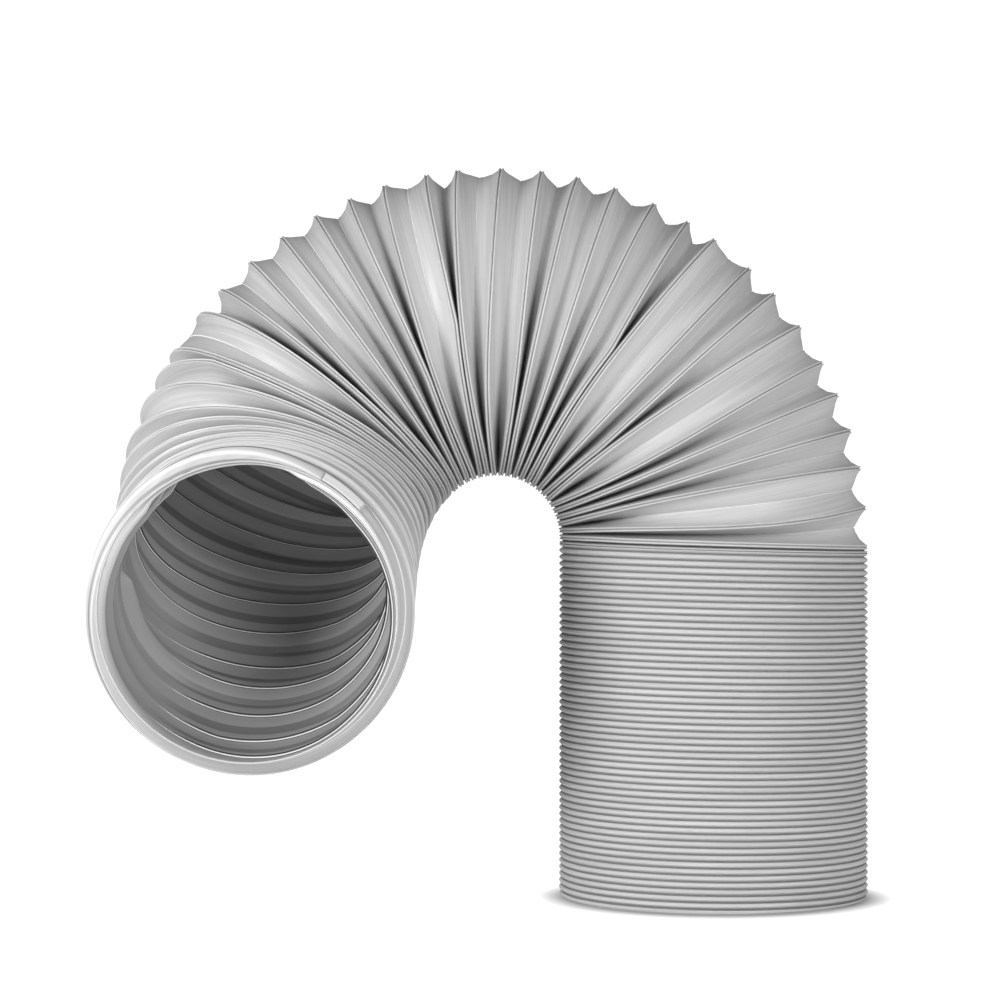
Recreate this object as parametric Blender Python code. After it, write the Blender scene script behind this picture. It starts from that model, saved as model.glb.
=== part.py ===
"""Portable air conditioner exhaust hose, standing on one end and arched over.

A grey polypropylene strip is wound into a left-handed bellows: each turn is one pleat,
with a bead (ridge) outside and a crease (valley) inside. The hose stands on its closed
lower end, the pleats fan open over the arch, and the free end curls round to the front.
"""
import math

import bmesh
import bpy
import numpy as np
from mathutils import Vector

# Strip and pleats, in metres.
BEAD_RADIUS = 0.0757          # outside radius over the beads
BEAD_WIDTH = 0.0022           # width of the bead along the hose
PLEAT_SLANT = 0.0108          # bead to crease, measured along the wall
WALL = 0.0006                 # thickness of the strip
CLOSED_PITCH = 0.00324        # one turn with the pleats pressed together
CLOSED_GROOVE = 0.0020        # depth of the groove between two closed beads
OPEN_RUN = 0.0028             # half pleat run from which the wall stands free of its neighbour
STRIP_START = 0.21            # turns of the strip that are cut away at the standing rim

# Course of the hose, in turns of the strip from the standing end, and degrees.
CLOSED_TURNS = 54.0           # straight upright length, pleats closed
BENT_TURNS = 36.0             # arch and curl up to the open end
ARCH_BEND = 6.03              # bend of each turn over the arch
CURL_BEND = 7.16              # bend of each turn at the end of the curl
CURL_START = 15.6             # turns into the bend where the curl to the front begins
CURL_LENGTH = 15.9            # turns over which the curl builds up
CURL_LEAN = 72.7              # turn of the bend's direction about the hose's own axis
END_LENGTH = 9.0              # last turns, where the end swings on to face the front
END_LEAN = 52.0               # further turn of the bend's direction there

# The two ends.
END_BLEND = 0.5               # turns over which the pleat runs out into an end
FOOT_RADIUS = 0.0748          # standing rim, just inside the beads
LIP_RADIUS = 0.0685           # rim of the free end

# Resolution of the faceted surface.
SIDES = 20                    # facets round the hose
ROWS = 2                      # rows of facets to one turn: crease to bead, bead to crease
STEPS = 12                    # steps of the centreline to one turn
WELD = 0.00001

TURNS = CLOSED_TURNS + BENT_TURNS


def smooth(t):
    """Ease from 0 to 1 as t goes from 0 to 1."""
    t = min(max(t, 0.0), 1.0)
    return t * t * (3.0 - 2.0 * t)


def bend_per_turn(turn):
    """Bend of one turn in radians at this place of the hose."""
    if turn <= CLOSED_TURNS:
        return 0.0
    curl = smooth((turn - CLOSED_TURNS - CURL_START) / CURL_LENGTH)
    return math.radians(ARCH_BEND + (CURL_BEND - ARCH_BEND) * curl)


def bend_lean(turn):
    """Direction of the bend about the hose's axis: 0 towards -X, growing to the front."""
    curl = smooth((turn - CLOSED_TURNS - CURL_START) / CURL_LENGTH)
    end = smooth((turn - TURNS + END_LENGTH) / END_LENGTH)
    return math.radians(CURL_LEAN * curl + END_LEAN * end)


def pitch(turn):
    """Length of one turn on the centreline: the inner side of a bend stays closed."""
    return CLOSED_PITCH + bend_per_turn(turn) * BEAD_RADIUS


def turned(vector, axis, angle):
    """The vector turned about a unit axis."""
    return (vector * math.cos(angle) + np.cross(axis, vector) * math.sin(angle)
            + axis * np.dot(axis, vector) * (1.0 - math.cos(angle)))


def centreline():
    """Stations along the hose: centre, heading and two radial directions at each."""
    count = round(TURNS * STEPS)
    step = TURNS / count
    centre = np.zeros(3)
    heading = np.array([0.0, 0.0, 1.0])
    side = np.array([1.0, 0.0, 0.0])
    front = np.array([0.0, 1.0, 0.0])
    stations = [np.array([centre, heading, side, front])]
    for index in range(count):
        middle = (index + 0.5) * step
        angle = bend_per_turn(middle) * step
        lean = bend_lean(middle)
        axis = np.cross(heading, -math.cos(lean) * side - math.sin(lean) * front)
        axis /= np.linalg.norm(axis)
        centre = centre + turned(heading, axis, angle / 2.0) * pitch(middle) * step
        heading = turned(heading, axis, angle)
        side = turned(side, axis, angle)
        front = turned(front, axis, angle)
        stations.append(np.array([centre, heading, side, front]))
    return stations


def station_at(stations, turn):
    """Frame of the hose at a turn, between the two nearest stations."""
    place = turn / TURNS * (len(stations) - 1)
    low = min(int(place), len(stations) - 2)
    share = place - low
    return stations[low] * (1.0 - share) + stations[low + 1] * share


def wall_radii(turn, angle):
    """Outer and inner radius of the wall at a turn and an angle round the hose."""
    bend = bend_per_turn(turn)
    local_pitch = pitch(turn) + bend * BEAD_RADIUS * math.cos(angle - bend_lean(turn))
    closed_run = (CLOSED_PITCH - BEAD_WIDTH) / 2.0
    run = min((local_pitch - BEAD_WIDTH) / 2.0, PLEAT_SLANT * 0.95)
    opened = min(max((run - closed_run) / (OPEN_RUN - closed_run), 0.0), 1.0)
    depth = math.sqrt(PLEAT_SLANT ** 2 - run ** 2)
    radial_wall = WALL * PLEAT_SLANT / max(run, OPEN_RUN)
    strip = (turn + STRIP_START + angle / (2.0 * math.pi)) % 1.0
    fall = 1.0 - abs(1.0 - 2.0 * strip)
    outer = BEAD_RADIUS - (CLOSED_GROOVE + (depth - CLOSED_GROOVE) * opened) * fall
    inner = BEAD_RADIUS - depth - radial_wall + depth * opened * (1.0 - fall)
    lip = smooth((turn - TURNS + END_BLEND) / END_BLEND)
    foot = smooth((END_BLEND - turn) / END_BLEND)
    outer += (LIP_RADIUS - outer) * lip + (FOOT_RADIUS - outer) * foot
    inner += (LIP_RADIUS - radial_wall - inner) * lip
    return outer, inner


def ring_point(stations, turn, angle, side_index):
    """Point of the outer (0) or inner (1) skin at a turn and an angle."""
    radius = wall_radii(turn, angle)[side_index]
    centre, _, side, front = station_at(stations, turn)
    return centre + radius * (math.cos(angle) * side + math.sin(angle) * front)


def wind(mesh, stations, first_turn, side_index):
    """Wind a flat grid into the outer (0) or inner (1) skin, cut square at both ends."""
    rows = math.ceil((TURNS + STRIP_START + 1.0) * ROWS)
    grid = bmesh.ops.create_grid(mesh, x_segments=SIDES, y_segments=rows, size=0.5)
    for vertex in grid["verts"]:
        angle = 2.0 * math.pi * round((vertex.co.x + 0.5) * SIDES) / SIDES
        row = round((vertex.co.y + 0.5) * rows)
        turn = row / ROWS - STRIP_START - angle / (2.0 * math.pi)
        turn = min(max(turn, first_turn), TURNS)
        vertex.co = ring_point(stations, turn, angle, side_index)
    bmesh.ops.remove_doubles(mesh, verts=grid["verts"], dist=WELD)


def draw_edges(mesh, edges):
    """Draw a ring of edges into a new band of faces, and return the new corners."""
    drawn = bmesh.ops.extrude_edge_only(mesh, edges=edges)["geom"]
    return [item for item in drawn if isinstance(item, bmesh.types.BMVert)]


def close_end(mesh, stations, turn):
    """Draw the inner skin's rim at one end out across the wall to the outer skin's rim."""
    centre, heading, side, front = station_at(stations, turn)
    rim = [edge for edge in mesh.edges if edge.is_boundary
           and max(abs(np.dot(v.co - Vector(centre), heading)) for v in edge.verts) < WELD]
    facet = 2.0 * math.pi / SIDES
    for vertex in draw_edges(mesh, rim):
        arm = np.array(vertex.co) - centre
        angle = round(math.atan2(np.dot(arm, front), np.dot(arm, side)) / facet) * facet
        vertex.co = ring_point(stations, turn, angle, 0)


def build_hose(collection):
    """The whole hose as one closed body."""
    stations = centreline()
    mesh = bmesh.new()
    wind(mesh, stations, CLOSED_TURNS, 1)

    # The closed length has a plain bore: its inner rim is drawn down to the floor.
    height = station_at(stations, CLOSED_TURNS)[0][2]
    bore_rim = [edge for edge in mesh.edges if edge.is_boundary
                and max(abs(v.co.z - height) for v in edge.verts) < WELD]
    bmesh.ops.translate(mesh, verts=draw_edges(mesh, bore_rim), vec=(0.0, 0.0, -height))

    close_end(mesh, stations, 0.0)
    close_end(mesh, stations, TURNS)
    wind(mesh, stations, 0.0, 0)
    bmesh.ops.remove_doubles(mesh, verts=mesh.verts, dist=WELD)
    bmesh.ops.recalc_face_normals(mesh, faces=mesh.faces)

    # The origin goes to the middle of the hose's plan, at floor level.
    corners = np.array([vertex.co for vertex in mesh.verts])
    middle = (corners.min(axis=0) + corners.max(axis=0)) / 2.0
    bmesh.ops.translate(mesh, verts=mesh.verts, vec=(-middle[0], -middle[1], 0.0))

    data = bpy.data.meshes.new("exhaust_hose")
    mesh.to_mesh(data)
    mesh.free()
    data.shade_smooth()
    data.set_sharp_from_angle(angle=math.radians(25.0))
    hose = bpy.data.objects.new("exhaust_hose", data)
    collection.objects.link(hose)
    return hose


def polypropylene():
    """Extruded light grey polypropylene, satin."""
    material = bpy.data.materials.new("grey_polypropylene")
    material.use_nodes = True
    shader = material.node_tree.nodes["Principled BSDF"]
    shader.inputs["Base Color"].default_value = (0.52, 0.52, 0.52, 1.0)
    shader.inputs["Roughness"].default_value = 0.42
    shader.inputs["Metallic"].default_value = 0.0
    return material


def main():
    for item in list(bpy.data.objects):
        bpy.data.objects.remove(item, do_unlink=True)
    collection = bpy.data.collections.new("air_conditioner_exhaust_hose")
    bpy.context.scene.collection.children.link(collection)
    hose = build_hose(collection)
    hose.data.materials.append(polypropylene())


main()
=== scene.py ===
# %% [markdown]
# # An exhaust hose for a portable air conditioner
#
# The real hose is one thin strip of light grey polypropylene, wound round and round and
# welded to itself along its edges. Every turn makes one pleat: a bead outside, a crease
# inside. The hose stands on one end with its pleats pressed together, arches over with the
# pleats fanned out, and its open end curls round to face the viewer.
#
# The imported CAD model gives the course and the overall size. Here the same course is
# wound again with a fine strip, so that each bead gets its two small lips, each wall its
# crease, and the open end its rolled lip.

# %% Load the frame and keep its box
import math

import bmesh
import bpy
import numpy as np
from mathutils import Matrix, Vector


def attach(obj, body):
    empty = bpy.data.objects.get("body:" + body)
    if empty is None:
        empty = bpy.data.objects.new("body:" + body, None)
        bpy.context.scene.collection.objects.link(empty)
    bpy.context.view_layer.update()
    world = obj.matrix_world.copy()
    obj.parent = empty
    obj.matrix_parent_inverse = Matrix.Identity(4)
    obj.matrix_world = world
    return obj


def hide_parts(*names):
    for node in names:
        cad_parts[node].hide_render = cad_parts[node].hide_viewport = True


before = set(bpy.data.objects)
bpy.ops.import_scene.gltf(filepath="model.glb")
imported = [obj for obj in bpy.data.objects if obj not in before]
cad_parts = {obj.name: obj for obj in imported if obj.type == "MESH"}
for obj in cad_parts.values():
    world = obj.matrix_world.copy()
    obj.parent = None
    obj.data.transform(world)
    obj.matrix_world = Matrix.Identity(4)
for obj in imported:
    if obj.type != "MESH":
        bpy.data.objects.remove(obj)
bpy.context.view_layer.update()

# %% [markdown]
# ## The strip and the course of the hose
#
# A hose bends as far as its pleats let it: on the inner side of a bend the beads touch, so
# each turn there is as short as in the upright length, and the outer side opens up. One
# bend angle per turn is therefore enough to work out the whole course. A curve object with
# a swept profile could give a tube, but its rings would be evenly spaced all round, and here
# the outer side has to open while the inner side stays shut. So the hose is worked out turn
# by turn. All sizes are in metres, all places along the hose in turns from the floor.

# %% Sizes of the strip
BEAD_RADIUS = 0.0757      # outside radius over the beads
BEAD_WIDTH = 0.0022       # width of one bead along the hose
PLEAT_SLANT = 0.0108      # bead to crease, measured along the wall
WALL = 0.0006             # thickness of the strip
CLOSED_PITCH = 0.00324    # one turn with the pleats pressed together
CLOSED_GROOVE = 0.0019    # depth of the groove between two closed beads
OPEN_RUN = 0.0028         # half pleat run from which the wall stands free inside
GROOVE_RUN = 0.0013       # half pleat run from which the groove outside is fully deep
CLOSED_BORE = 0.0675      # radius of the bore where the pleats are pressed together
STRIP_START = 0.21        # turns of the strip that are cut away at the standing rim
STRIP_WIDTH = BEAD_WIDTH + 2.0 * PLEAT_SLANT
print("strip", round(STRIP_WIDTH * 1000, 1), "mm wide")

# %% Sizes of the course and of its two ends
CLOSED_TURNS = 54.0       # upright length, with its pleats pressed together
BENT_TURNS = 36.0         # arch and curl, up to the open end
TURNS = CLOSED_TURNS + BENT_TURNS
ARCH_BEND = 6.03          # degrees a turn over the arch
MORE_BEND = 1.13          # degrees a turn that the curl adds
CURL_START = 15.6         # turns into the bend where the curl to the front begins
CURL_LENGTH = 15.9        # turns over which the curl builds up
CURL_LEAN = 72.7          # degrees by which the bend's direction leans to the front
END_LENGTH = 9.0          # last turns, where the end swings on to face the front
END_LEAN = 52.0           # degrees by which it leans on there
FOOT = np.array([0.109657, 0.018825, 0.0])    # centre of the standing rim
FOOT_RADIUS = 0.0748      # standing rim, just inside the beads
LIP_RADIUS = 0.0700       # outside of the open end's lip
LIP_WIDTH = 0.0009        # thickness of that lip
SAG_TURNS = 8.0           # last turns, which hang a little lower than the course
SAG = np.array([-0.0012, 0.0, -0.0024])
print("turns", TURNS, "upright length", round(CLOSED_TURNS * CLOSED_PITCH * 1000), "mm high")


# %% How the hose bends
def smooth(t):
    """Ease from 0 to 1, for a number or an array."""
    t = np.clip(t, 0.0, 1.0)
    return t * t * (3.0 - 2.0 * t)


def towards_end(turn, start, length):
    """Ease from 0 to 1 over a length in turns, from a number of turns before the open end."""
    return smooth((turn - TURNS + start) / length)


def bend_per_turn(turn):
    """Bend of one turn in radians: none in the upright length, then about 6 to 7 degrees."""
    curl = smooth((turn - CLOSED_TURNS - CURL_START) / CURL_LENGTH)
    return np.where(turn > CLOSED_TURNS, np.radians(ARCH_BEND + MORE_BEND * curl), 0.0)


def bend_lean(turn):
    """Direction of the bend about the hose's axis, growing towards the front."""
    curl = smooth((turn - CLOSED_TURNS - CURL_START) / CURL_LENGTH)
    end = towards_end(turn, END_LENGTH, END_LENGTH)
    return np.radians(CURL_LEAN * curl + END_LEAN * end)


print("bend over the arch and at the end, degrees a turn:",
      [round(math.degrees(float(bend_per_turn(turn))), 2) for turn in (60.0, TURNS)])

# %% [markdown]
# ## Walking the course
#
# A turtle walks up the hose in small steps. At each step it turns its heading about an axis
# square to the bend and carries two side directions along, so they never twist. What it
# notes, a centre and three directions, is all that the winding needs later on.

# %% Walk along the hose and note its centre and axes at each step
STEPS = 24                # steps of the walk to one turn


def turned(vector, axis, angle):
    """A vector turned about a unit axis."""
    return (vector * math.cos(angle) + np.cross(axis, vector) * math.sin(angle)
            + axis * np.dot(axis, vector) * (1.0 - math.cos(angle)))


def walk_course():
    """Stations along the hose: centre, heading and two radial directions at each."""
    count = round(TURNS * STEPS)
    step = TURNS / count
    centre, heading = np.zeros(3), np.array([0.0, 0.0, 1.0])
    side, front = np.array([1.0, 0.0, 0.0]), np.array([0.0, 1.0, 0.0])
    stations = [[centre, heading, side, front]]
    for index in range(count):
        middle = (index + 0.5) * step
        bend = float(bend_per_turn(middle))
        lean = float(bend_lean(middle))
        axis = np.cross(heading, -math.cos(lean) * side - math.sin(lean) * front)
        axis /= np.linalg.norm(axis)
        length = (CLOSED_PITCH + bend * BEAD_RADIUS) * step
        centre = centre + turned(heading, axis, bend * step / 2.0) * length
        heading, side, front = (turned(v, axis, bend * step) for v in (heading, side, front))
        stations.append([centre, heading, side, front])
    return np.array(stations)


stations = walk_course()
print("course ends at", np.round(stations[-1][0], 4), "heading", np.round(stations[-1][1], 3))

# %% [markdown]
# ## One turn of the strip
#
# Across one turn the strip rises from the crease to the bead and falls again. Its length
# along the wall never changes, so the more a pleat is drawn out, the shallower it gets: a
# right triangle with the wall as its long side gives the depth.


# %% Pitch and depth of a pleat
def local_pitch(turn, angle):
    """Length of one turn at this side of the hose: shortest inside a bend."""
    outward = np.cos(angle - bend_lean(turn))
    return CLOSED_PITCH + bend_per_turn(turn) * BEAD_RADIUS * (1.0 + outward)


CLOSED_RUN = (CLOSED_PITCH - BEAD_WIDTH) / 2.0


def pleat(pitch):
    """Depth of a pleat, how open it is from 0 to 1, and the wall's thickness along the radius."""
    run = np.clip((pitch - BEAD_WIDTH) / 2.0, CLOSED_RUN, PLEAT_SLANT * 0.95)
    opened = np.clip((run - CLOSED_RUN) / (OPEN_RUN - CLOSED_RUN), 0.0, 1.0)
    radial_wall = WALL * PLEAT_SLANT / np.maximum(run, OPEN_RUN)
    return np.sqrt(PLEAT_SLANT ** 2 - run ** 2), opened, radial_wall


for millimetres in (3.24, 11.2, 19.2):
    depth = float(pleat(millimetres / 1000)[0]) * 1000
    print("pitch", millimetres, "mm: pleat depth", round(depth, 1), "mm")

# %% [markdown]
# ## Pleats never open evenly
#
# Thin plastic snaps: near the inner side of the bend two or three beads stay pressed
# together, and the next pleat opens all the more, with a dark wedge between the groups.
# Inside the bend there is no room to shift and outside the strip is pulled even, so the
# shift is largest about a quarter of the way out. Waves of unlike length along the hose
# give groups of two and three in no regular order. A random number for each bead would do
# too, but waves also run on smoothly round the hose, as the real groups do.

# %% How far a bead sits out of its even place
# Each wave: its length in turns, how often it goes round the hose, its start and its size.
SHORT_WAVES = [(2.31, 0, 0.4, 0.60), (3.17, 0, 2.1, 0.65), (7.3, 0, 4.4, 0.45)]
LONG_WAVES = [(4.1, 1, 1.0, 0.35), (5.7, -1, 3.0, 0.35), (2.7, 2, 5.1, 0.20)]
GROUPING = 0.46           # largest shift that gathers beads in groups, in turns
WANDERING = 0.05          # largest shift on the outer side of the bend
GROUPED_AT = 0.24         # share of the way out where the groups are strongest


def waves(turn, angle, table):
    """Sum of the waves of one table at a place along and round the hose."""
    return sum(size * np.sin(2.0 * math.pi * turn / length + times * angle + start)
               for length, times, start, size in table)


def unevenness(turn, angle):
    """How far along, in turns, a bead sits out of its even place."""
    bent = smooth((turn - CLOSED_TURNS - 0.8) / 2.5) * smooth((TURNS - 1.2 - turn) / 2.5)
    out = (1.0 + np.cos(angle - bend_lean(turn))) / 2.0
    grouping = out / GROUPED_AT * np.exp(1.0 - out / GROUPED_AT)
    return bent * (GROUPING * grouping * waves(turn, angle, SHORT_WAVES)
                   + WANDERING * out * waves(turn, angle, LONG_WAVES))


print("shift of the bead at turn 70, a quarter of the way out:",
      round(float(unevenness(70.0, math.radians(120.0))), 2), "turns")

# %% [markdown]
# ## The arch weighs on the upright length
#
# On its outer side the arch presses the top of the upright length down by about one pitch,
# which fades to nothing at the floor, and it holds its own first bead down in front and
# behind. Without this the first open pleat starts one bead too high.
#
# With that, each bead's place is known. The length of each side of the hose is summed up
# over the turns, the beads are set out along it, and where two would lie closer than
# pressed plastic allows, the upper one is moved on.


# %% Where each bead lies
FIRST_BEAD_HELD = 1.8                   # how hard the arch holds its first bead down
PRESSED_PITCH = CLOSED_PITCH * 0.975    # closest that two beads can come
FINE_STEPS = 25                         # steps to one turn in the table of lengths


def pressed_down(turn, angle):
    """How far, in turns, the arch's weight presses the pleats down on its outer side."""
    out = (1.0 + np.cos(angle)) / 2.0
    above = turn - CLOSED_TURNS
    upright = np.clip(turn / CLOSED_TURNS, 0.0, 1.0) * (1.0 - smooth((above + 0.2) / 0.9))
    first = smooth((above - 0.2) / 0.8) * (1.0 - smooth((above - 1.1) / 0.9))
    return out * upright + FIRST_BEAD_HELD * out * (1.0 - out) * first


def bead_table(angle):
    """Length along each side of the hose over the turns, and the place of each bead on it."""
    fine = np.linspace(-3.0, TURNS + 4.0, round((TURNS + 7.0) * FINE_STEPS) + 1)[:, None]
    pitch = local_pitch(np.clip(fine, 0.0, TURNS), angle)
    steps = (pitch[1:] + pitch[:-1]) / 2.0 * (fine[1, 0] - fine[0, 0])
    length = np.vstack([np.zeros_like(angle), np.cumsum(steps, axis=0)])
    bead = np.arange(-1, int(TURNS) + 4)[:, None] - STRIP_START - angle / (2.0 * math.pi)
    bead = bead + unevenness(bead, angle) - pressed_down(bead, angle)
    place = np.stack([np.interp(bead[:, k], fine[:, 0], length[:, k]) for k in range(angle.size)], 1)
    for row in range(1, len(place)):
        place[row] = np.maximum(place[row], place[row - 1] + PRESSED_PITCH)
    return fine[:, 0], length, place


right_side = bead_table(np.zeros((1, 1)))[2][:, 0]
print("bead to bead on the right side, turns 54 to 58:",
      np.round(np.diff(right_side[54:59]) * 1000, 1), "mm")

# %% [markdown]
# ## The strip's profile
#
# Each station says where it lies across one turn: its distance from the middle of the bead
# in millimetres (negative for the next turn's bead), its share of the way along the wall,
# its share of the pleat's depth, and a last lift or drop in millimetres. The bead has two
# small lips, where the strip's two edges are welded. The walls are a little hollow and end in
# a fine pressed crease, which catches the light as a thin line. Inside, the crease stands up
# as a fin about 2 mm high. Pressed together, a pleat shows only a pointed ridge.

# %% Stations across one turn
OUTER = [
    (0.00, 0.00, 0.00, -0.85), (0.40, 0.00, 0.00, -0.45), (0.80, 0.00, 0.00, 0.00),
    (1.05, 0.00, 0.00, -0.35), (1.15, 0.00, 0.00, -1.00),
    (1.15, 0.34, 0.50, -0.75), (1.15, 0.80, 0.88, -0.25), (1.15, 0.955, 0.98, 0.25),
    (-1.15, 1.00, 1.00, -0.10), (-1.15, 0.93, 0.93, -0.05), (-1.15, 0.60, 0.66, -0.25),
    (-1.15, 0.25, 0.32, -0.75), (-1.15, 0.00, 0.00, -1.00), (-1.05, 0.00, 0.00, -0.45),
    (-0.80, 0.00, 0.00, -0.12), (-0.40, 0.00, 0.00, -0.45),
]
INNER = [
    (0.00, 0.00, 0.80, -0.60), (1.15, 0.20, 0.82, -0.60), (1.15, 0.60, 0.92, -0.60),
    (1.15, 0.88, 1.00, 0.10), (1.15, 0.95, 1.00, 0.20), (1.15, 0.985, 1.00, -2.10),
    (-1.15, 0.99, 1.00, -2.10), (-1.15, 0.93, 1.00, -0.40), (-1.15, 0.75, 0.98, -0.45),
    (-1.15, 0.30, 0.86, -0.70),
]
CLOSED_OUTER = [
    (0.00, 0.0, 0.0, -0.14), (0.18, 0.0, 0.0, 0.00), (0.75, 0.0, 0.0, -0.48),
    (1.27, 0.0, 0.0, -1.10), (1.30, 0.5, 1.0, 0.0), (-1.30, 0.7, 1.0, 0.0),
    (-1.27, 0.0, 0.0, -1.10), (-0.75, 0.0, 0.0, -0.48), (-0.18, 0.0, 0.0, 0.00),
]
CLOSED_INNER = [(0.0, 0.0, 0.0, 0.6), (1.15, 0.6, 1.0, 0.0), (-1.15, 0.6, 1.0, 0.0)]
print(len(OUTER), "stations to a turn outside,", len(INNER), "inside")

# %% [markdown]
# ## Stations along the hose
#
# Wound up, the stations lie one after another between each bead and the next. Their share
# of the wall becomes a share of the gap between the two beads, so that a wide pleat and a
# narrow one get the same number of rows.


# %% Put the stations in their places between the beads
def across_strip(profile):
    """Distance of each station across the strip, in metres from the middle of the bead."""
    table = np.array(profile)
    bead = np.abs(table[:, 0]) / 1000.0
    off = bead + table[:, 1] * (STRIP_WIDTH / 2.0 - bead)
    return np.where(table[:, 0] < 0.0, STRIP_WIDTH - off, off)


def stations_along(profile, first_bead, last_bead, angle):
    """The turn, the gap to the next bead and the profile's values at each row and angle."""
    fine, length, place = bead_table(angle[None, :])
    rows = np.arange(first_bead * len(profile), last_bead * len(profile) + 1)
    table = np.array(profile)[rows % len(profile)]
    bead_mm, share, drop, extra = (table[:, k][:, None] for k in range(4))
    bead = rows // len(profile) + 1
    gap = place[bead + 1] - place[bead]
    off = np.minimum(np.abs(bead_mm) / 1000.0, gap * 0.42)
    off = off + share * (gap / 2.0 - off)
    along = np.where(bead_mm < 0.0, place[bead + 1] - off, place[bead] + off)
    turn = np.stack([np.interp(along[:, k], length[:, k], fine) for k in range(angle.size)], 1)
    return np.clip(turn, 0.0, TURNS), gap, drop, extra / 1000.0


gaps = stations_along(OUTER, 60, 66, np.array([0.0, math.pi]))[1] * 1000
print("gaps between beads 60 to 66:", np.round(gaps[::len(OUTER), 0][:-1], 1), "mm at the outside,",
      np.round(gaps[::len(OUTER), 1][:-1], 1), "mm inside the bend")

# %% [markdown]
# ## From stations to radii
#
# The outer skin is the beads' radius less the groove. The inner skin has its own stations
# on the same pleat and lies a wall's thickness further in. Where the pleats are pressed
# together it is a plain bore. Near the open end the tube flares a little, the last pleat
# gets shallower, and both skins blend into the lip. At the left of the mouth the wall is
# pressed in a few millimetres, and its creases are ironed flat, where the photo shows
# no arcs.
#
# Eases in pairs say how many turns before the open end a change starts, and over how many
# turns it grows.

# %% Radius of each skin
END_FLARE = 0.022         # share by which the open end widens
FLARE_EASE = (2.0, 2.0)
SHALLOWER_OUTSIDE = 0.75  # share of the last pleat's depth that is lost outside
SHALLOWER_INSIDE = 0.15   # and inside
SHALLOWER_EASE = (1.8, 1.0)
DENT = 0.0055             # depth of the dent behind the mouth
DENT_SIDE = 0.9           # angle round the hose where it is deepest, in radians
DENT_EASE = (9.0, 3.5)
DENT_GONE = (1.6, 2.6)    # turns before the end where the dent is gone, and its way there
PLAIN_SIDE = 0.5          # angle round the hose where the creases inside are ironed flat
PLAIN_EASE = (7.0, 3.0)
LIP_EASE = (0.5, 0.5)
INNER_LIP_EASE = (0.7, 0.7)
FOOT_TURNS = 0.5          # turns over which the first pleat runs out into the standing rim
LEAST_WALL = WALL * 1.4   # least thickness of a pressed pleat behind its groove
NARROW_GAP = 0.010        # beads this much further apart than pressed let light in between


def skin_points(profile, first_bead, last_bead, sides, inside):
    """Turn, angle and radius of one skin, row by row, and how dark or plain it is there."""
    angle = np.linspace(0.0, 2.0 * math.pi, sides + 1)
    turn, gap, drop, extra = stations_along(profile, first_bead, last_bead, angle)
    depth, opened, radial_wall = pleat(gap)
    parted = np.clip(((gap - BEAD_WIDTH) / 2.0 - CLOSED_RUN) / (GROOVE_RUN - CLOSED_RUN), 0.0, 1.0)
    shallower = towards_end(turn, *SHALLOWER_EASE) * (SHALLOWER_INSIDE if inside else SHALLOWER_OUTSIDE)
    groove = (CLOSED_GROOVE + (depth - CLOSED_GROOVE) * parted) * (1.0 - shallower)
    # The creases fade from 60 degrees off the plain side and are gone 32 degrees off it.
    plain = towards_end(turn, *PLAIN_EASE) * smooth((np.cos(angle - PLAIN_SIDE) - 0.5) / 0.35)
    radius = BEAD_RADIUS - groove * drop + extra * (1.0 - plain * inside)
    radius = radius * (1.0 + END_FLARE * towards_end(turn, *FLARE_EASE))
    dented = towards_end(turn, *DENT_EASE) * smooth((TURNS - DENT_GONE[0] - turn) / DENT_GONE[1])
    dent = DENT * dented * np.maximum(np.cos(angle - DENT_SIDE), 0.0)
    if inside:
        closed_bore = np.minimum(CLOSED_BORE, BEAD_RADIUS - groove - LEAST_WALL)
        radius = closed_bore + (radius - radial_wall - closed_bore) * opened - dent
        radius = radius + (LIP_RADIUS - LIP_WIDTH - radius) * towards_end(turn, *INNER_LIP_EASE)
        return turn, angle + 0.0 * turn, radius, plain
    radius = radius - dent
    lip = towards_end(turn, *LIP_EASE)
    foot = smooth((FOOT_TURNS - turn) / FOOT_TURNS)
    radius = radius + (LIP_RADIUS - radius) * lip + (FOOT_RADIUS - radius) * foot
    shade = drop ** 2 * (1.0 - smooth((gap - CLOSED_PITCH) / NARROW_GAP))
    return turn, angle + 0.0 * turn, radius, shade


sample = skin_points(OUTER, 60, 61, 8, False)[2]
print("outer skin of one open turn, least and largest radius:",
      np.round([sample.min() * 1000, sample.max() * 1000], 1), "mm")

# %% [markdown]
# ## From radii to places
#
# Every point of the strip is now a turn, an angle and a radius. The walked course turns that
# into a place in space: the centre at that turn, and the two side directions for the angle.


# %% Place points on the course
def place_on_course(turn, angle, radius, forward=0.0):
    """Points in space from a place along the hose, an angle round it and a radius."""
    where = turn / TURNS * (len(stations) - 1)
    low = np.minimum(where.astype(int), len(stations) - 2)
    share = (where - low)[..., None, None]
    at = stations[low] * (1.0 - share) + stations[low + 1] * share
    radial = np.cos(angle)[..., None] * at[..., 2, :] + np.sin(angle)[..., None] * at[..., 3, :]
    forward = np.broadcast_to(forward, radius.shape)[..., None] * at[..., 1, :]
    sag = towards_end(turn, SAG_TURNS, SAG_TURNS)[..., None] * SAG
    return at[..., 0, :] + radius[..., None] * radial + forward + sag + FOOT


lip_ring = place_on_course(np.full(73, TURNS), np.linspace(0.0, 6.28, 73), np.full(73, LIP_RADIUS))
print("the open end's lip hangs", round(float(lip_ring[:, 2].min()), 4), "m above the floor")

# %% [markdown]
# ## From places to a mesh
#
# The rows become a grid of four-sided faces in one call, which is far quicker than adding
# them one by one. Faces squeezed to nothing by a square-cut end are left out. The strip's own
# distances go along as UV coordinates: metres round the hose, and metres across the strip,
# counted on from turn to turn. A second value on each point, "groove", tells the material
# where the strip lies deep in a narrow groove, or inside, where its creases are ironed flat.

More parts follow.
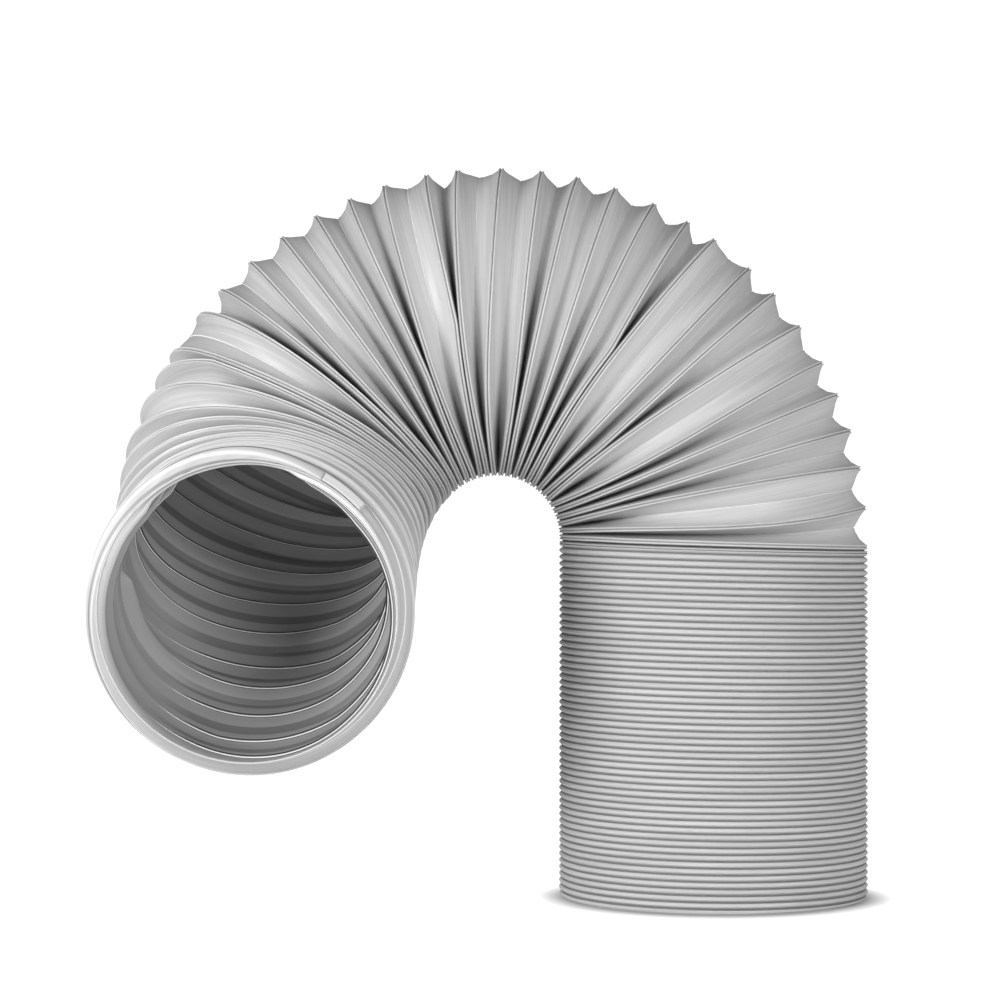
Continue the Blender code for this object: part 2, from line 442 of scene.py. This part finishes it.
# %% Make a mesh of the winding
UV_RADIUS = 0.070         # mean radius of the strip, which turns an angle into metres
FLAT = 1e-7               # a face with both its sides shorter than this is left out


def grid_mesh(name, points, along, across, flip=False, groove=0.0):
    """A grid of points as a mesh, with its real distances in metres as UV coordinates."""
    count, width = points.shape[:2]
    index = np.arange(count * width).reshape(count, width)
    quads = np.stack([index[:-1, :-1], index[:-1, 1:], index[1:, 1:], index[1:, :-1]], -1)
    quads = quads.reshape(-1, 4)
    flat = points.reshape(-1, 3)
    left = np.linalg.norm(flat[quads[:, 3]] - flat[quads[:, 0]], axis=1)
    right = np.linalg.norm(flat[quads[:, 2]] - flat[quads[:, 1]], axis=1)
    quads = quads[(left > FLAT) | (right > FLAT)]
    if flip:
        quads = quads[:, ::-1]
    mesh = bpy.data.meshes.new(name)
    mesh.from_pydata(flat.tolist(), [], quads.tolist())
    corner = np.empty(len(mesh.loops), dtype=np.int32)
    mesh.loops.foreach_get("vertex_index", corner)
    uv = np.stack([np.broadcast_to(along, (count, width)).reshape(-1)[corner],
                   np.broadcast_to(across, (count, width)).reshape(-1)[corner]], -1)
    layer = mesh.uv_layers.new(name="strip")
    layer.data.foreach_set("uv", uv.astype(np.float32).reshape(-1))
    values = np.broadcast_to(groove, (count, width)).astype(np.float32).reshape(-1)
    mesh.attributes.new("groove", "FLOAT", "POINT").data.foreach_set("value", values)
    return mesh


def wind_skin(name, profile, first_bead, last_bead, sides, inside):
    """One skin of the strip, wound from one bead to another."""
    turn, angle, radius, groove = skin_points(profile, first_bead, last_bead, sides, inside)
    points = place_on_course(turn, angle, radius)
    rows = np.arange(first_bead * len(profile), last_bead * len(profile) + 1)
    across = across_strip(profile)[rows % len(profile)] + rows // len(profile) * STRIP_WIDTH
    return grid_mesh(name, points, angle * UV_RADIUS, across[:, None], flip=inside, groove=groove)


print("once round the hose is", round(2.0 * math.pi * UV_RADIUS, 3), "m of strip")

# %% [markdown]
# ## Ends and joins
#
# Each end needs a rim across the wall, half round because the plastic is thin and slightly
# rolled. Skins and rim are then welded into one object wherever their points meet. Edges
# sharper than 35 degrees stay sharp, the rest is shaded smooth.

# %% Close an end, and weld skins into one piece
SHARP_DEGREES = 35.0
WELD = 0.000004           # points nearer than this become one


def end_rim(name, turn, outer, inner, bulge, sides):
    """A half-round rim between the outer and the inner skin at one end."""
    angle = np.linspace(0.0, 2.0 * math.pi, sides + 1)[None, :]
    around = np.linspace(0.0, math.pi, 7)[:, None]
    middle, half = (outer + inner) / 2.0, (outer - inner) / 2.0
    radius = middle + half * np.cos(around) + 0.0 * angle
    points = place_on_course(np.full(radius.shape, turn), angle + 0.0 * radius, radius,
                             np.sin(around) * bulge)
    return grid_mesh(name, points, angle * UV_RADIUS, around * 0.001, flip=bulge < 0.0)


def joined(name, meshes):
    """Several skins welded into one object; the skins keep their order as materials."""
    whole = bmesh.new()
    for number, mesh in enumerate(meshes):
        start = len(whole.faces)
        whole.from_mesh(mesh)
        whole.faces.ensure_lookup_table()
        for face in whole.faces[start:]:
            face.material_index = number
        bpy.data.meshes.remove(mesh)
    bmesh.ops.remove_doubles(whole, verts=whole.verts, dist=WELD)
    data = bpy.data.meshes.new(name)
    whole.to_mesh(data)
    whole.free()
    data.shade_smooth()
    data.set_sharp_from_angle(angle=math.radians(SHARP_DEGREES))
    piece = bpy.data.objects.new(name, data)
    bpy.context.scene.collection.objects.link(piece)
    return piece


print("points nearer than", WELD * 1e6, "thousandths of a millimetre are welded")

# %% [markdown]
# ## Winding the hose
#
# The hose is one piece, but it is wound in three runs that meet bead to bead: the upright
# length with its simple closed profile, the arch, and the curl with the lip. That keeps each
# run under 200,000 triangles, with 144 sides so that the outline is round.

# %% Wind the upright length, the arch and the curled end
SIDES = 144
ARCH_BEADS = 19           # beads in the run of the arch
FOOT_BULGE = 0.0001       # how far the standing rim is rounded
LIP_BULGE = 0.0007        # how far the lip is rolled
last_closed = int(CLOSED_TURNS)
middle_bead = last_closed + ARCH_BEADS
last_bead = int(TURNS) + 2
bore = BEAD_RADIUS - PLEAT_SLANT - WALL * PLEAT_SLANT / OPEN_RUN    # the foot's inner edge
upright = joined("upright_length", [
    wind_skin("outside", CLOSED_OUTER, -1, last_closed, SIDES, False),
    wind_skin("inside", CLOSED_INNER, -1, last_closed, SIDES, True),
    end_rim("foot", 0.0, FOOT_RADIUS, bore, -FOOT_BULGE, SIDES)])
arch = joined("arched_length", [
    wind_skin("outside", OUTER, last_closed, middle_bead, SIDES, False),
    wind_skin("inside", INNER, last_closed, middle_bead, SIDES, True)])
curl = joined("curled_end", [
    wind_skin("outside", OUTER, middle_bead, last_bead, SIDES, False),
    wind_skin("inside", INNER, middle_bead, last_bead, SIDES, True),
    end_rim("lip", TURNS, LIP_RADIUS, LIP_RADIUS - LIP_WIDTH, LIP_BULGE, SIDES)])
print("wound", upright.name, arch.name, curl.name)

# %% [markdown]
# ## The strip's cut end
#
# A wound strip has to stop somewhere. On this hose it was cut off square and welded down on
# the lip, at the upper right of the mouth, where it shows as a thin flat tab about 20 mm
# long. A small grid laid on the lip and thickened is enough.

# %% Lay the cut end over the lip
TAB_FROM, TAB_TO = math.radians(244.0), math.radians(262.0)
TAB_REACH = 0.14          # turns that it reaches back along the hose
TAB_RISE = 0.0040         # how far it climbs from the lip towards the first bead
TAB_LIFT = 0.0006         # how far it stands in front of the lip
angle, back = np.meshgrid(np.linspace(TAB_FROM, TAB_TO, 19), np.linspace(0.0, 1.0, 7))
tab_radius = LIP_RADIUS + 0.0002 + TAB_RISE * back
tab_points = place_on_course(TURNS - TAB_REACH * back, angle, tab_radius, TAB_LIFT)
tab = joined("strip_end", [grid_mesh("tab", tab_points, angle * UV_RADIUS, back * 0.006)])
thick = bmesh.new()
thick.from_mesh(tab.data)
bmesh.ops.solidify(thick, geom=thick.faces, thickness=WALL * 0.6)
thick.to_mesh(tab.data)
thick.free()
print("cut end", round((TAB_TO - TAB_FROM) * LIP_RADIUS * 1000), "mm long")

# %% [markdown]
# ## Fixing the pieces to the frame
#
# The hose has one body and no joint, so every piece rides on the root. The arch stands for
# the plain CAD hose, which is hidden and stays for collision only.

# %% Ride on the body and hide the CAD node
pieces = (upright, arch, curl, tab)
for piece in pieces:
    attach(piece, "root")
    piece.data.calc_loop_triangles()
    print(piece.name, len(piece.data.loop_triangles), "triangles")
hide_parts("exhaust_hose")

# %% [markdown]
# ## Light grey polypropylene
#
# The strip is extruded: polypropylene comes out of a slot as a thin ribbon, satin rather
# than glossy, with hairlines along its length where it left the die. Its refractive index is
# about 1.49 and it is no metal. The grey is even, a little lighter and darker in long streaks
# along the strip. A photo texture would repeat and stretch, so the pattern is noise, drawn
# out along the strip.
#
# Real die lines are 0.1 to 0.2 mm apart, too fine to show here. They are drawn coarser,
# about 0.45 mm apart and 70 mm long, and the streaks about 6 mm wide and 90 mm long.
#
# Hex colours are as a screen shows them, and shaders count in linear light, so one function
# turns the one into the other. Another adds a node, sets it and links it.


# %% Colours and nodes
def linear(hex_colour):
    """An sRGB hex colour as the linear RGBA that shaders use."""
    parts = [int(hex_colour[k:k + 2], 16) / 255.0 for k in (1, 3, 5)]
    return tuple(c / 12.92 if c <= 0.04045 else ((c + 0.055) / 1.055) ** 2.4 for c in parts) + (1.0,)


def add_node(tree, kind, settings, links):
    """Add a node, set its values and sockets, and link inputs, by their names or numbers."""
    node = tree.nodes.new(kind)
    for key, value in settings.items():
        if isinstance(key, str) and hasattr(node, key):
            setattr(node, key, value)
        else:
            node.inputs[key].default_value = value
    for key, source in links.items():
        tree.links.new(source, node.inputs[key])
    return node


print("mid grey #808080 is", round(linear("#808080")[0], 3), "in linear light")

# %% [markdown]
# ## Finding the way on the strip
#
# The strip's UV coordinates jump by one turn where the grid's seam runs up the hose. Noise
# would show that seam as a line. So the material first works out where a point lies along
# the hose, in turns, which has no jump, and takes the noise from a point on a cylinder at
# that height. Lines along the strip need only the distance across it, which repeats with
# every turn.

# %% The strip's coordinates, and a line drawn along it
HAIRS = (14.0, 14.0, 2200.0)    # waves to the metre: twice round the hose, and along it
STREAKS = (11.0, 11.0, 170.0)
SOFT_EDGE = 0.004               # half width of a line's soft edge at most, in strip widths


def strip_coordinates(tree):
    """The number of strip widths, the turn along the hose, and a seamless point for noise."""
    strip = add_node(tree, "ShaderNodeUVMap", {"uv_map": "strip"}, {}).outputs["UV"]
    sides = add_node(tree, "ShaderNodeSeparateXYZ", {}, {"Vector": strip}).outputs
    strips = add_node(tree, "ShaderNodeMath", {"operation": "DIVIDE", 1: STRIP_WIDTH},
                      {0: sides["Y"]}).outputs[0]
    angle = add_node(tree, "ShaderNodeMath", {"operation": "DIVIDE", 1: UV_RADIUS},
                     {0: sides["X"]}).outputs[0]
    back = add_node(tree, "ShaderNodeMath", {"operation": "DIVIDE", 1: 2.0 * math.pi},
                    {0: angle}).outputs[0]
    turn = add_node(tree, "ShaderNodeMath", {"operation": "SUBTRACT"}, {0: strips, 1: back}).outputs[0]
    wound = add_node(tree, "ShaderNodeCombineXYZ", {}, {})
    for axis, operation in (("X", "COSINE"), ("Y", "SINE")):
        round_hose = add_node(tree, "ShaderNodeMath", {"operation": operation}, {0: angle}).outputs[0]
        metres = add_node(tree, "ShaderNodeMath", {"operation": "MULTIPLY", 1: UV_RADIUS}, {0: round_hose})
        tree.links.new(metres.outputs[0], wound.inputs[axis])
    along = add_node(tree, "ShaderNodeMath", {"operation": "MULTIPLY", 1: STRIP_WIDTH}, {0: turn})
    tree.links.new(along.outputs[0], wound.inputs["Z"])
    return strips, turn, wound.outputs["Vector"]


def stretched_noise(tree, point, scale, detail):
    """Noise drawn out along the strip."""
    drawn = add_node(tree, "ShaderNodeMapping", {"Scale": scale}, {"Vector": point}).outputs["Vector"]
    noise = add_node(tree, "ShaderNodeTexNoise", {"Scale": 1.0, "Detail": detail}, {"Vector": drawn})
    return noise.outputs["Fac"]


def line_across(tree, colour, strips, centre, half_width, other, amount):
    """Draw a line along the strip at a share of its width: 0 is the bead, 0.5 the crease."""
    off = add_node(tree, "ShaderNodeMath", {"operation": "SUBTRACT", 1: centre}, {0: strips}).outputs[0]
    distance = add_node(tree, "ShaderNodeMath", {"operation": "PINGPONG", 1: 0.5}, {0: off}).outputs[0]
    soft = min(half_width * 0.35, SOFT_EDGE)
    mask = add_node(tree, "ShaderNodeMapRange",
                    {"From Min": half_width + soft, "From Max": half_width - soft, "To Max": amount},
                    {"Value": distance}).outputs["Result"]
    return add_node(tree, "ShaderNodeMix", {"data_type": "RGBA", 7: linear(other)},
                    {0: mask, 6: colour}).outputs[2]


def fade_to_end(tree, colour, turn, from_end, to_end, other):
    """Fade a colour to another between two distances from the open end, in turns."""
    end = TURNS + STRIP_START
    near = add_node(tree, "ShaderNodeMapRange", {"From Min": end - from_end, "From Max": end - to_end},
                    {"Value": turn}).outputs["Result"]
    return add_node(tree, "ShaderNodeMix", {"data_type": "RGBA", 7: linear(other)},
                    {0: near, 6: colour}).outputs[2]


print("hairlines about", round(1000.0 / HAIRS[2], 2), "mm apart, streaks about",
      round(1000.0 / STREAKS[2], 1), "mm wide")

# %% [markdown]
# ## One function for every face of the strip
#
# All faces are the same plastic, so one function builds them: two greys mixed by the noise,
# lines of painted shade and highlight where the strip is welded or creased, and painted shade
# deep in narrow grooves. The hairlines also drive the roughness, and both patterns together a
# bump of 0.18 mm. The shade is painted because a closed groove is only half a millimetre wide,
# and its sides would be drawn too light at this size. The inner face, the only one with fades,
# uses the same value on the mesh for another end: there it takes the lines away where the
# creases are ironed flat.

# %% The plastic
PLASTIC_IOR = 1.49
GREYS_AT = (0.36, 0.64)   # noise values at which the dark and the light grey are pure
BUMP_HEIGHT = 0.00018
GROOVE_DARK = "#1a1a1a"


def polypropylene(name, light, dark, roughness, lines, fades=(), shade=0.92):
    """Extruded polypropylene: streaks of two greys, hairlines, and painted shade and highlight lines along
    the strip.
    """
    material = bpy.data.materials.new(name)
    material.use_nodes = True
    tree = material.node_tree
    shader = tree.nodes["Principled BSDF"]
    shader.inputs["IOR"].default_value = PLASTIC_IOR
    shader.inputs["Metallic"].default_value = 0.0
    strips, turn, wound = strip_coordinates(tree)
    hairs = stretched_noise(tree, wound, HAIRS, 3.0)
    streaks = stretched_noise(tree, wound, STREAKS, 2.0)
    both = add_node(tree, "ShaderNodeMix", {"Factor": 0.5}, {"A": streaks, "B": hairs}).outputs["Result"]
    greys = add_node(tree, "ShaderNodeValToRGB", {}, {"Fac": both})
    for element, position, grey in zip(greys.color_ramp.elements, GREYS_AT, (dark, light)):
        element.position = position
        element.color = linear(grey)
    colour = greys.outputs["Color"]
    for from_end, to_end, other in fades:
        colour = fade_to_end(tree, colour, turn, from_end, to_end, other)
    unlined = colour
    for centre, half_width, other, amount in lines:
        colour = line_across(tree, colour, strips, centre, half_width, other, amount)
    groove = add_node(tree, "ShaderNodeAttribute", {"attribute_name": "groove"}, {}).outputs["Fac"]
    if fades:
        colour = add_node(tree, "ShaderNodeMix", {"data_type": "RGBA"},
                          {0: groove, 6: colour, 7: unlined}).outputs[2]
    else:
        deep = add_node(tree, "ShaderNodeMath", {"operation": "MULTIPLY", 1: shade}, {0: groove}).outputs[0]
        colour = add_node(tree, "ShaderNodeMix", {"data_type": "RGBA", 7: linear(GROOVE_DARK)},
                          {0: deep, 6: colour}).outputs[2]
    tree.links.new(colour, shader.inputs["Base Color"])
    gloss = add_node(tree, "ShaderNodeMapRange", {"To Min": roughness - 0.06, "To Max": roughness + 0.08},
                     {"Value": hairs})
    tree.links.new(gloss.outputs["Result"], shader.inputs["Roughness"])
    bump = add_node(tree, "ShaderNodeBump", {"Strength": 0.6, "Distance": BUMP_HEIGHT}, {"Height": both})
    tree.links.new(bump.outputs["Normal"], shader.inputs["Normal"])
    return material


reflected = ((PLASTIC_IOR - 1.0) / (PLASTIC_IOR + 1.0)) ** 2
print("seen straight on, the plastic reflects", round(100.0 * reflected, 1), "% of the light")

# %% [markdown]
# ## The four faces
#
# Outside, the weld between a bead's two lips is a dark line of painted shade in its notch,
# with a painted highlight on either lip, and the crease is a fine painted highlight. On the
# pressed pleats only the ridge shows: its lower flank is greyer and the gap between two ridges
# dark, both painted shade, and their greys are a little lighter, painted light. Inside, the
# channel behind each bead lies in painted shade, and each crease's fin shows as a painted
# highlight between two lines of painted shade. The grey there is lighter deep in the hose than
# near the mouth, and lightest at the lip. That is not another plastic: it stands for the
# shading in the photo, where the thin wall lets light through. A cut edge is given a little
# lighter grey than the face, a painted highlight.
#
# Each line is its place in strip widths from the bead, half its width, its colour and how
# strong it is. Each fade is where it starts and ends, in turns before the open end.

# %% Greys and lines of each face
# The dark weld line is painted shade in the notch between the lips; the two light lines are painted
# highlights on the lips.
LIP_SHADE_AND_HIGHLIGHTS = [(0.0, 0.010, "#6a6a6a", 0.7),
             (0.034, 0.007, "#e6e6e6", 0.5), (-0.034, 0.007, "#e6e6e6", 0.5)]
# The crease's fine light line is a painted highlight.
CREASE_HIGHLIGHT = (0.495, 0.007, "#f2f2f2", 0.9)
# The ridge's lower flank is darkened with painted shade.
LOWER_FLANK_SHADE = (-0.036, 0.017, "#8c8c8c", 0.6)
# The gap between two pressed ridges is darkened with painted shade.
GAP_SHADE_BETWEEN_RIDGES = (0.5, 0.449, "#565656", 0.6)
# Inside: painted shade in the channel behind each bead, and on each fin a painted highlight between two
# lines of painted shade.
INNER_SHADE_AND_HIGHLIGHT = [(0.0, 0.12, "#404040", 0.5),
               (0.518, 0.0136, "#101010", 0.95), (0.5218, 0.0042, "#f4f4f4", 1.0)]
MOUTH_FADES = [(12.0, 5.0, "#989898"), (0.85, 0.2, "#f0f0f0")]
outside = polypropylene("extruded_polypropylene", "#c4c4c4", "#acacac", 0.42,
                        LIP_SHADE_AND_HIGHLIGHTS + [CREASE_HIGHLIGHT])
# The pressed pleats take lighter greys than the arch's face: painted light on the same plastic.
closed = polypropylene("extruded_polypropylene_closed_pleats", "#cacaca", "#b8b8b8", 0.42,
                       [LOWER_FLANK_SHADE, GAP_SHADE_BETWEEN_RIDGES], shade=0.15)
inside = polypropylene("extruded_polypropylene_inner_face", "#d8d8d8", "#cccccc", 0.5,
                       INNER_SHADE_AND_HIGHLIGHT, MOUTH_FADES)
# The cut edge's lighter grey is a painted highlight.
rim = polypropylene("cut_polypropylene_edge", "#cccccc", "#c0c0c0", 0.4, [])
tab.data.materials.append(outside)
for piece in (upright, arch, curl):
    for material in (closed if piece == upright else outside, inside, rim):
        piece.data.materials.append(material)
print("materials", [m.name for m in arch.data.materials])

# %% [markdown]
# ## Camera
#
# The hose was photographed level with its middle, from about 1.65 m with a lens of some
# 120 mm: the upright length hardly narrows towards the floor. The Standard view transform
# keeps the greys as they are.

# %% Set up the camera
scene = bpy.context.scene
scene.view_settings.view_transform = "Standard"
camera_data = bpy.data.cameras.new("camera")
camera_data.sensor_width = 36.0
camera_data.lens = 120.8
camera = bpy.data.objects.new("camera", camera_data)
eye = Vector((0.00486, 0.018825 - 1.65, 0.199))
target = Vector((0.00486, 0.018825, 0.1941))
camera.location = eye
camera.rotation_euler = (target - eye).to_track_quat("-Z", "Y").to_euler()
scene.collection.objects.link(camera)
scene.camera = camera
print("camera", round((target - eye).length, 3), "m away")

# %% [markdown]
# ## Light
#
# Three soft boxes give direction: one on each side, a little above the hose, and a weak one
# overhead. The left one stands far round to the side, so that the curled end shades the left
# edge of the upright length. A pale surrounding fills the shade between the pleats.
#
# Product photos are cut out on pure white. Here the surrounding is made white for the
# camera alone, because as strong as that it would wash out every shadow on the hose.

# %% Soft boxes and the white surrounding
MIDDLE_OF_HOSE = (0.0, 0.0, 0.19)
SURROUNDING_LIGHT = 0.24  # how bright the surrounding is for the hose
SURROUNDING_SEEN = 1.1    # and for the camera


def soft_box(name, place, aim, size, power):
    """A square soft box aimed at a point."""
    data = bpy.data.lights.new(name, "AREA")
    data.shape = "SQUARE"
    data.size = size
    data.energy = power
    lamp = bpy.data.objects.new(name, data)
    lamp.location = place
    lamp.rotation_euler = (Vector(aim) - Vector(place)).to_track_quat("-Z", "Y").to_euler()
    scene.collection.objects.link(lamp)


def seen_white(tree, level_for_light, level_seen):
    """A level that is one value for the camera and another for the light on the hose."""
    seen = add_node(tree, "ShaderNodeLightPath", {}, {}).outputs["Is Camera Ray"]
    return add_node(tree, "ShaderNodeMapRange", {"To Min": level_for_light, "To Max": level_seen},
                    {"Value": seen}).outputs["Result"]


soft_box("right", (1.00, -1.60, 0.50), MIDDLE_OF_HOSE, 0.7, 21.0)
soft_box("left", (-1.42, -1.12, 0.50), MIDDLE_OF_HOSE, 0.7, 27.0)
soft_box("overhead", (0.0, -0.6, 1.8), (0.0, 0.0, 0.2), 0.8, 2.0)
world = bpy.data.worlds.new("white_surrounding")
world.use_nodes = True
sky = world.node_tree.nodes["Background"]
sky.inputs["Color"].default_value = (1.0, 1.0, 1.0, 1.0)
level = seen_white(world.node_tree, SURROUNDING_LIGHT, SURROUNDING_SEEN)
world.node_tree.links.new(level, sky.inputs["Strength"])
scene.world = world

# %% [markdown]
# ## Floor
#
# The floor is white paper. It glows for the camera so that it is as white as the
# surrounding, all but a soft shade close round the foot. The glow starts just inside the
# foot's edge and is full 16 mm out. Its circle lies a centimetre nearer the front than the
# foot, so more of the shade shows in front than at the sides.

# %% White paper floor
SHADE_FROM = FOOT_RADIUS - 0.003    # radius where the glow starts
SHADE_TO = FOOT_RADIUS + 0.016      # radius where it is full
shade_centre = (FOOT[0], FOOT[1] - 0.010, 0.0)
floor_mesh = bpy.data.meshes.new("floor")
floor_mesh.from_pydata([(-9, -9, 0), (9, -9, 0), (9, 9, 0), (-9, 9, 0)], [], [(0, 1, 2, 3)])
floor = bpy.data.objects.new("floor", floor_mesh)
scene.collection.objects.link(floor)
paper = bpy.data.materials.new("white_paper")
paper.use_nodes = True
tree = paper.node_tree
sheet = tree.nodes["Principled BSDF"]
sheet.inputs["Base Color"].default_value = linear("#b4b4b4")
sheet.inputs["Roughness"].default_value = 0.9
sheet.inputs["Emission Color"].default_value = (1.0, 1.0, 1.0, 1.0)
where = add_node(tree, "ShaderNodeNewGeometry", {}, {}).outputs["Position"]
away = add_node(tree, "ShaderNodeVectorMath", {"operation": "DISTANCE", 1: shade_centre}, {0: where})
glow = add_node(tree, "ShaderNodeMapRange",
                {"From Min": SHADE_FROM, "From Max": SHADE_TO, "To Min": 0.0, "To Max": 1.05},
                {"Value": away.outputs["Value"]}).outputs["Result"]
level = seen_white(tree, 0.40, 1.0)
lit = add_node(tree, "ShaderNodeMath", {"operation": "MULTIPLY"}, {0: glow, 1: level})
tree.links.new(lit.outputs["Value"], sheet.inputs["Emission Strength"])
floor_mesh.materials.append(paper)
print("floor shade from", round(SHADE_FROM, 4), "to", round(SHADE_TO, 4), "m round the foot")
